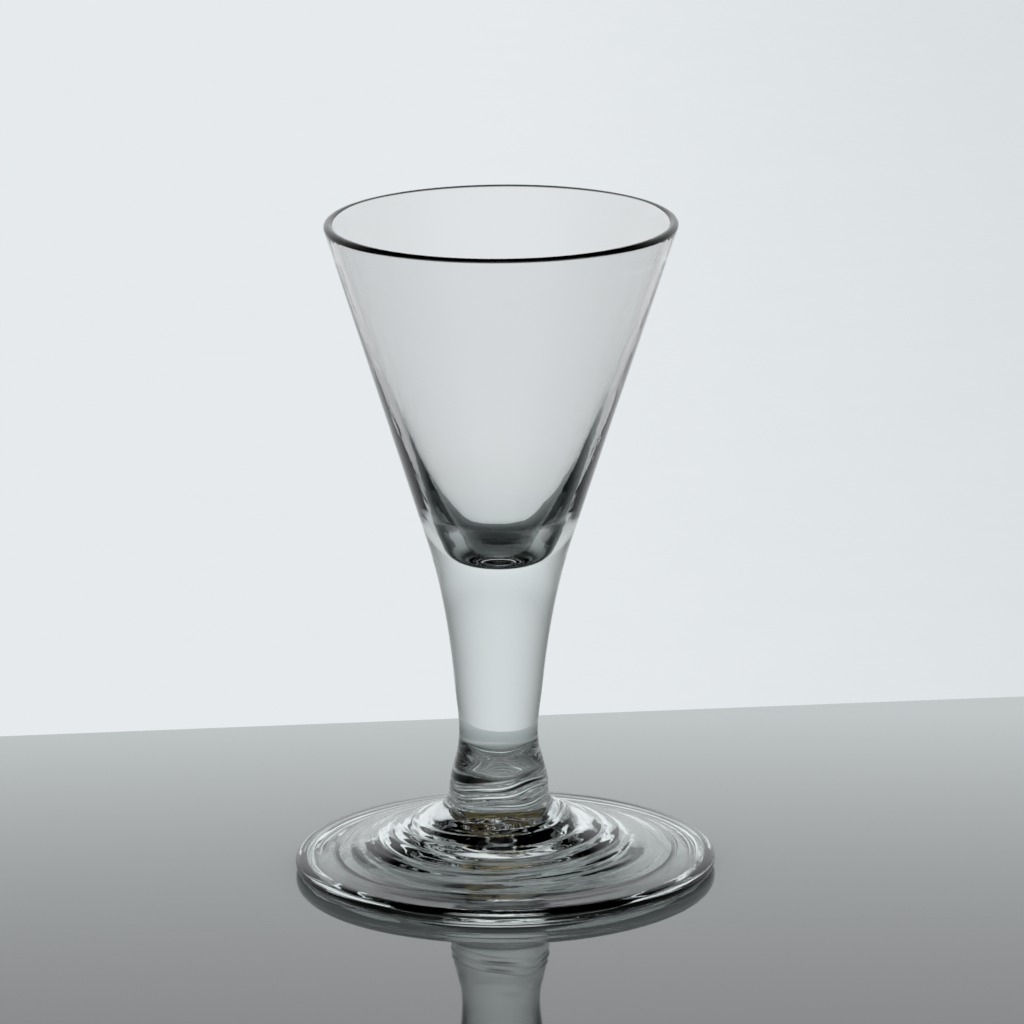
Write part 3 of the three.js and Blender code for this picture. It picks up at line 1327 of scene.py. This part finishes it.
@dataclass(frozen=True)
class BackdropPaper(Finish):
    """Pale matt paper, faintly mottled, and a little darker near and to the right: painted shade.

    To mirrored and bent rays it glows as paper lit from behind does, but less to steep ones.
    """

    name: str = "backdrop_paper"
    room: RoomLight = RoomLight()
    tone: str = "#E6EAEC"
    shaded: str = "#D9DEE1"
    shade_from: float = -20.0
    shade_to: float = 150.0
    shade_near: float = 800.0
    shade_end: float = 2500.0
    mottle: float = 14.0
    mottle_depth: float = 0.25
    steep_facing: float = 0.3
    low_facing: float = 0.5
    steep_glow: float = 0.1

    def surface(self, tree: bpy.types.NodeTree) -> bpy.types.Node:
        """Adds paper that is plain to the eye and glows for mirrored and bent rays.

        Args:
            tree: The node tree.

        Returns:
            The shader.
        """
        place = add(tree, "ShaderNodeTexCoord").outputs["Object"]
        around = self.room.share(tree, place)
        glow = add(tree, "ShaderNodeMath", {0: around, 1: self.room.low}, operation="MULTIPLY")
        fall = add(
            tree,
            "ShaderNodeMapRange",
            {
                "Value": add(tree, "ShaderNodeLayerWeight", {"Blend": 0.5}).outputs["Facing"],
                "From Min": self.steep_facing,
                "From Max": self.low_facing,
                "To Min": self.steep_glow,
                "To Max": 1.0,
            },
            interpolation_type="SMOOTHSTEP",
        )
        strength = add(tree, "ShaderNodeMath", {0: glow, 1: fall}, operation="MULTIPLY")
        lit = add(
            tree, "ShaderNodeEmission", {"Color": linear(self.room.glow), "Strength": strength}
        )
        plain = add(tree, "ShaderNodeBsdfDiffuse", {"Color": linear(self.tone)})
        seen = add(tree, "ShaderNodeEmission", {"Color": self._paper(tree, place), "Strength": 1.0})
        by_camera = add(tree, "ShaderNodeLightPath").outputs["Is Camera Ray"]
        paper = add(tree, "ShaderNodeMixShader", {0: by_camera, 1: plain, 2: seen})
        return add(tree, "ShaderNodeMixShader", {0: mirrored_or_bent(tree), 1: paper, 2: lit})

    def _paper(self, tree: bpy.types.NodeTree, place: bpy.types.NodeSocket) -> bpy.types.NodeSocket:
        """Gives the paper's mottled tone, with painted shade near the glass and to the right.

        Args:
            tree: The node tree.
            place: Position on the paper.

        Returns:
            The colour's socket.
        """
        along = add(tree, "ShaderNodeSeparateXYZ", {0: place}).outputs
        soft = {"Scale": 1 / self.mottle / MM, "Detail": 4.0, "Roughness": 0.6}
        cloud = add(tree, "ShaderNodeTexNoise", {"Vector": place, **soft})
        uneven = add(tree, "ShaderNodeMath", {0: cloud, 1: -0.5}, operation="ADD")
        # Painted shade: darker to the right of the glass, fading out with distance from it
        side = add(
            tree,
            "ShaderNodeMapRange",
            {"Value": along["X"], "From Min": self.shade_from * MM, "From Max": self.shade_to * MM},
            interpolation_type="SMOOTHSTEP",
        )
        shade = add(
            tree,
            "ShaderNodeMath",
            {0: uneven, 1: self.mottle_depth, 2: side},
            operation="MULTIPLY_ADD",
            use_clamp=True,
        )
        near = add(
            tree,
            "ShaderNodeMapRange",
            {"Value": along["Y"], "From Min": self.shade_end * MM, "From Max": self.shade_near * MM},
            interpolation_type="SMOOTHSTEP",
        )
        share = add(tree, "ShaderNodeMath", {0: shade, 1: near}, operation="MULTIPLY")
        colours = {6: linear(self.tone), 7: linear(self.shaded)}
        return add(tree, "ShaderNodeMix", {0: share, **colours}, data_type="RGBA").outputs[2]


@dataclass(frozen=True)
class Studio:
    """A glossy table top, the pale paper under and behind it, and the dim room round them."""

    table_back: float = 80.7
    table_skew: float = 6.0
    table_half_width: float = 480.0
    table_front: float = -520.0
    table_thickness: float = 6.0
    paper_reach: float = 20000.0
    paper_thickness: float = 1.0
    bounces: int = 6
    seam_crossings: int = 48

    def _slab(
        self, name: str, corners: list[Point], top: float, thickness: float
    ) -> bpy.types.Object:
        """Makes a level slab that is part of the stage.

        Args:
            name: Its name.
            corners: Its outline as x and y, anticlockwise from above.
            top: Height of its upper face.
            thickness: Its thickness.

        Returns:
            The slab.
        """
        count = len(corners)
        points = [(x, y, top - thickness) for x, y in corners] + [(x, y, top) for x, y in corners]
        faces = [tuple(reversed(range(count))), tuple(range(count, 2 * count))]
        faces += [(i, (i + 1) % count, (i + 1) % count + count, i + count) for i in range(count)]
        mesh = bpy.data.meshes.new(name)
        mesh.from_pydata([Vector(p) * MM for p in points], [], faces)
        slab = bpy.data.objects.new(name, mesh)
        bpy.context.scene.collection.objects.link(slab)
        return slab

    def stage(self, paper: BackdropPaper) -> None:
        """Makes the table top and the floor under it.

        Args:
            paper: The floor's finish.
        """
        half = self.table_half_width
        skew = half * math.tan(math.radians(self.table_skew))
        outline = [
            (-half, self.table_front),
            (half, self.table_front),
            (half, self.table_back + skew),
            (-half, self.table_back - skew),
        ]
        table = self._slab("table_top", outline, 0.0, self.table_thickness)
        table.data.materials.append(LacqueredBoard().make())
        reach = self.paper_reach
        far = [(-reach, -reach), (reach, -reach), (reach, reach), (-reach, reach)]
        floor = self._slab("floor", far, -self.table_thickness, self.paper_thickness)
        floor.data.materials.append(paper.make())

    def set_up(self) -> None:
        """Sets the light, the stage and how far light is followed through the glass."""
        paper = BackdropPaper()
        paper.room.shine(paper.tone)
        self.stage(paper)
        scene = bpy.context.scene
        scene.view_settings.view_transform = "Standard"
        scene.cycles.max_bounces = self.bounces
        scene.cycles.transmission_bounces = self.bounces
        scene.cycles.glossy_bounces = self.bounces
        scene.cycles.transparent_max_bounces = self.seam_crossings


def millimetres(corner: Iterable[float]) -> list[float]:
    """Turns a corner of a box into millimetres."""
    return [float(value) / MM for value in corner]


def main() -> None:
    """Builds the glass and its studio, and reports each piece."""
    logging.basicConfig(level=logging.INFO, format="%(message)s")
    PhotographView().make()
    low, high = (millimetres(c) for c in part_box("bowl_and_stem"))
    _, foot_high = (millimetres(c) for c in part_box("foot"))
    foot_radius = foot_high[1]
    hand = HandWork(
        waist_height=low[2] + BowlAndStem.waist.height - BowlAndStem.joint.height,
        rim_height=high[2],
        instep_radius=Foot.instep_radius,
        fold_radius=foot_radius - Foot.fold_width,
    )
    flint = FlintGlass().make()
    seam = FusedSeam().make()
    BowlAndStem(hand, height=high[2]).make([flint, seam])
    Foot(hand, foot_radius=foot_radius).make([flint, seam])
    FootFold(hand, foot_radius=foot_radius).make([flint, seam, WornGlass().make()])
    PontilScar(hand).make([BrokenGlass().make(), seam])
    Studio().set_up()


if __name__ == "__main__":
    main()
